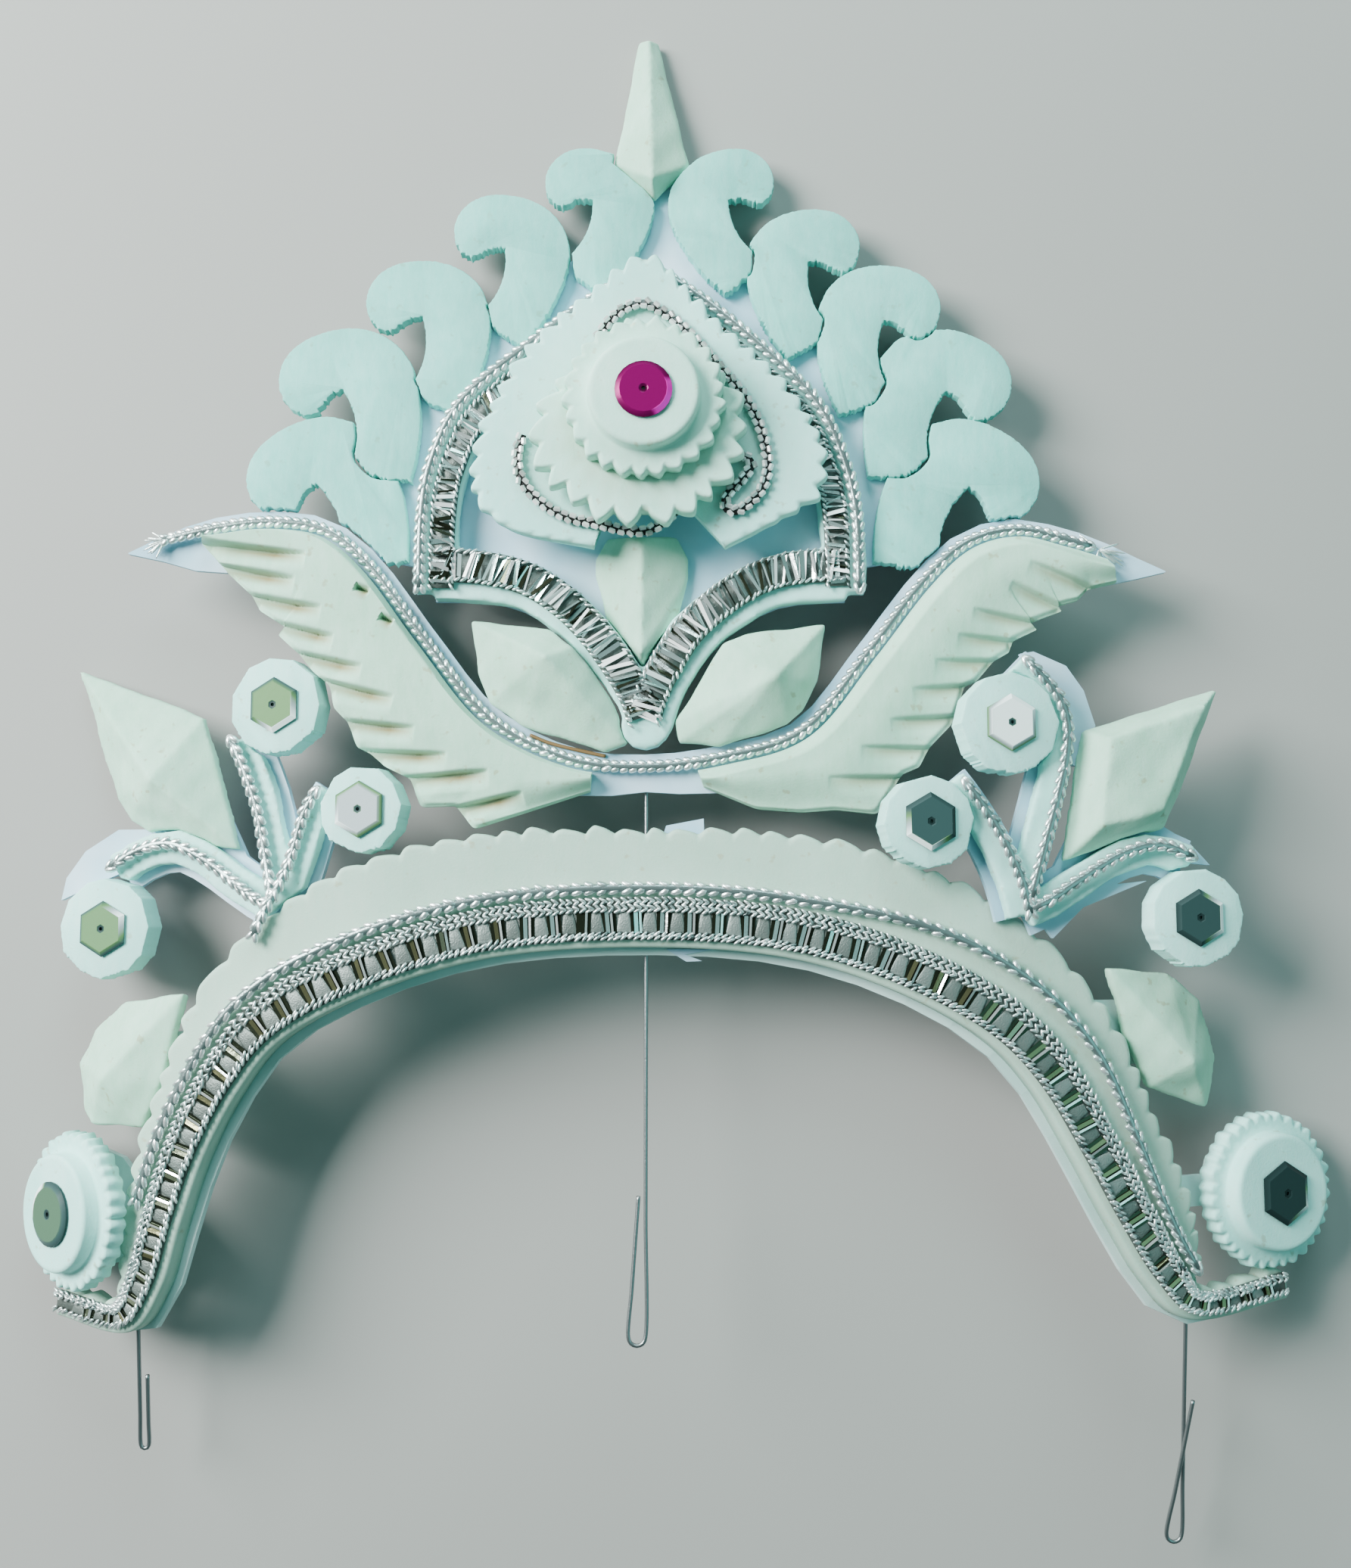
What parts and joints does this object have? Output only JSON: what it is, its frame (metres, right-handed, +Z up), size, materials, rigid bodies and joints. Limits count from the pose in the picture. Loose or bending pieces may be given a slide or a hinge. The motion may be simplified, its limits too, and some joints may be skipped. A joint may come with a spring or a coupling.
{
  "type": "bridal crown",
  "caption": "Bridal crown of carved white pith on card, a curved brow band under a winged crest with silver braid, mirror sequins and wire pins, lying face up on its back.",
  "frame": {"origin": "centre of the crown's footprint, on the surface that it lies on", "axes": "+Y from the band's feet to the tip of the crest, +Z up and out of the crown's face, +X to the right seen from above"},
  "size_m": [0.2112, 0.2414, 0.0262],
  "materials": {
    "pith": "soft matt carved white pith",
    "card": "matt bluish white card with cut edges",
    "silver": "bright silver metallised braid",
    "mirror": "bright faceted sequin",
    "magenta": "glossy metallised magenta sequin",
    "wire": "dull galvanised wire"
  },
  "bodies": {
    "root": {"band_card": "card", "wing_card": "card", "crest_card": "card", "floret_card_left": "card", "floret_card_right": "card", "band_face": "pith", "crest_frame": "pith", "spire": "pith", "crest_stem": "pith", "boss_leaves": "pith", "boss_petals": "pith", "boss_rosette": "pith", "band_rope": "silver", "band_ladder": "silver", "wing_rope": "silver", "crest_rope": "silver", "crest_ladder": "silver", "bead_cord": "silver", "boss_sequin": "magenta", "wire_centre": "wire", "wire_left": "wire", "wire_right": "wire", "end_rosette_left": "pith", "side_leaf_left": "pith", "wing_left": "pith", "diamond_left": "pith", "floret_stems_left": "pith", "floret_rhomb_left": "pith", "scroll_left_1": "pith", "scroll_left_2": "pith", "scroll_left_3": "pith", "scroll_left_4": "pith", "scroll_left_5": "pith", "floret_disc_left_outer": "pith", "floret_disc_left_upper": "pith", "floret_disc_left_inner": "pith", "end_mirror_left": "mirror", "floret_mirror_left_outer": "mirror", "floret_mirror_left_upper": "mirror", "floret_mirror_left_inner": "mirror", "floret_rope_left": "silver", "end_rosette_right": "pith", "side_leaf_right": "pith", "wing_right": "pith", "diamond_right": "pith", "floret_stems_right": "pith", "floret_rhomb_right": "pith", "scroll_right_1": "pith", "scroll_right_2": "pith", "scroll_right_3": "pith", "scroll_right_4": "pith", "scroll_right_5": "pith", "floret_disc_right_outer": "pith", "floret_disc_right_upper": "pith", "floret_disc_right_inner": "pith", "end_mirror_right": "mirror", "floret_mirror_right_outer": "mirror", "floret_mirror_right_upper": "mirror", "floret_mirror_right_inner": "mirror", "floret_rope_right": "silver"}
  },
  "joints": []
}
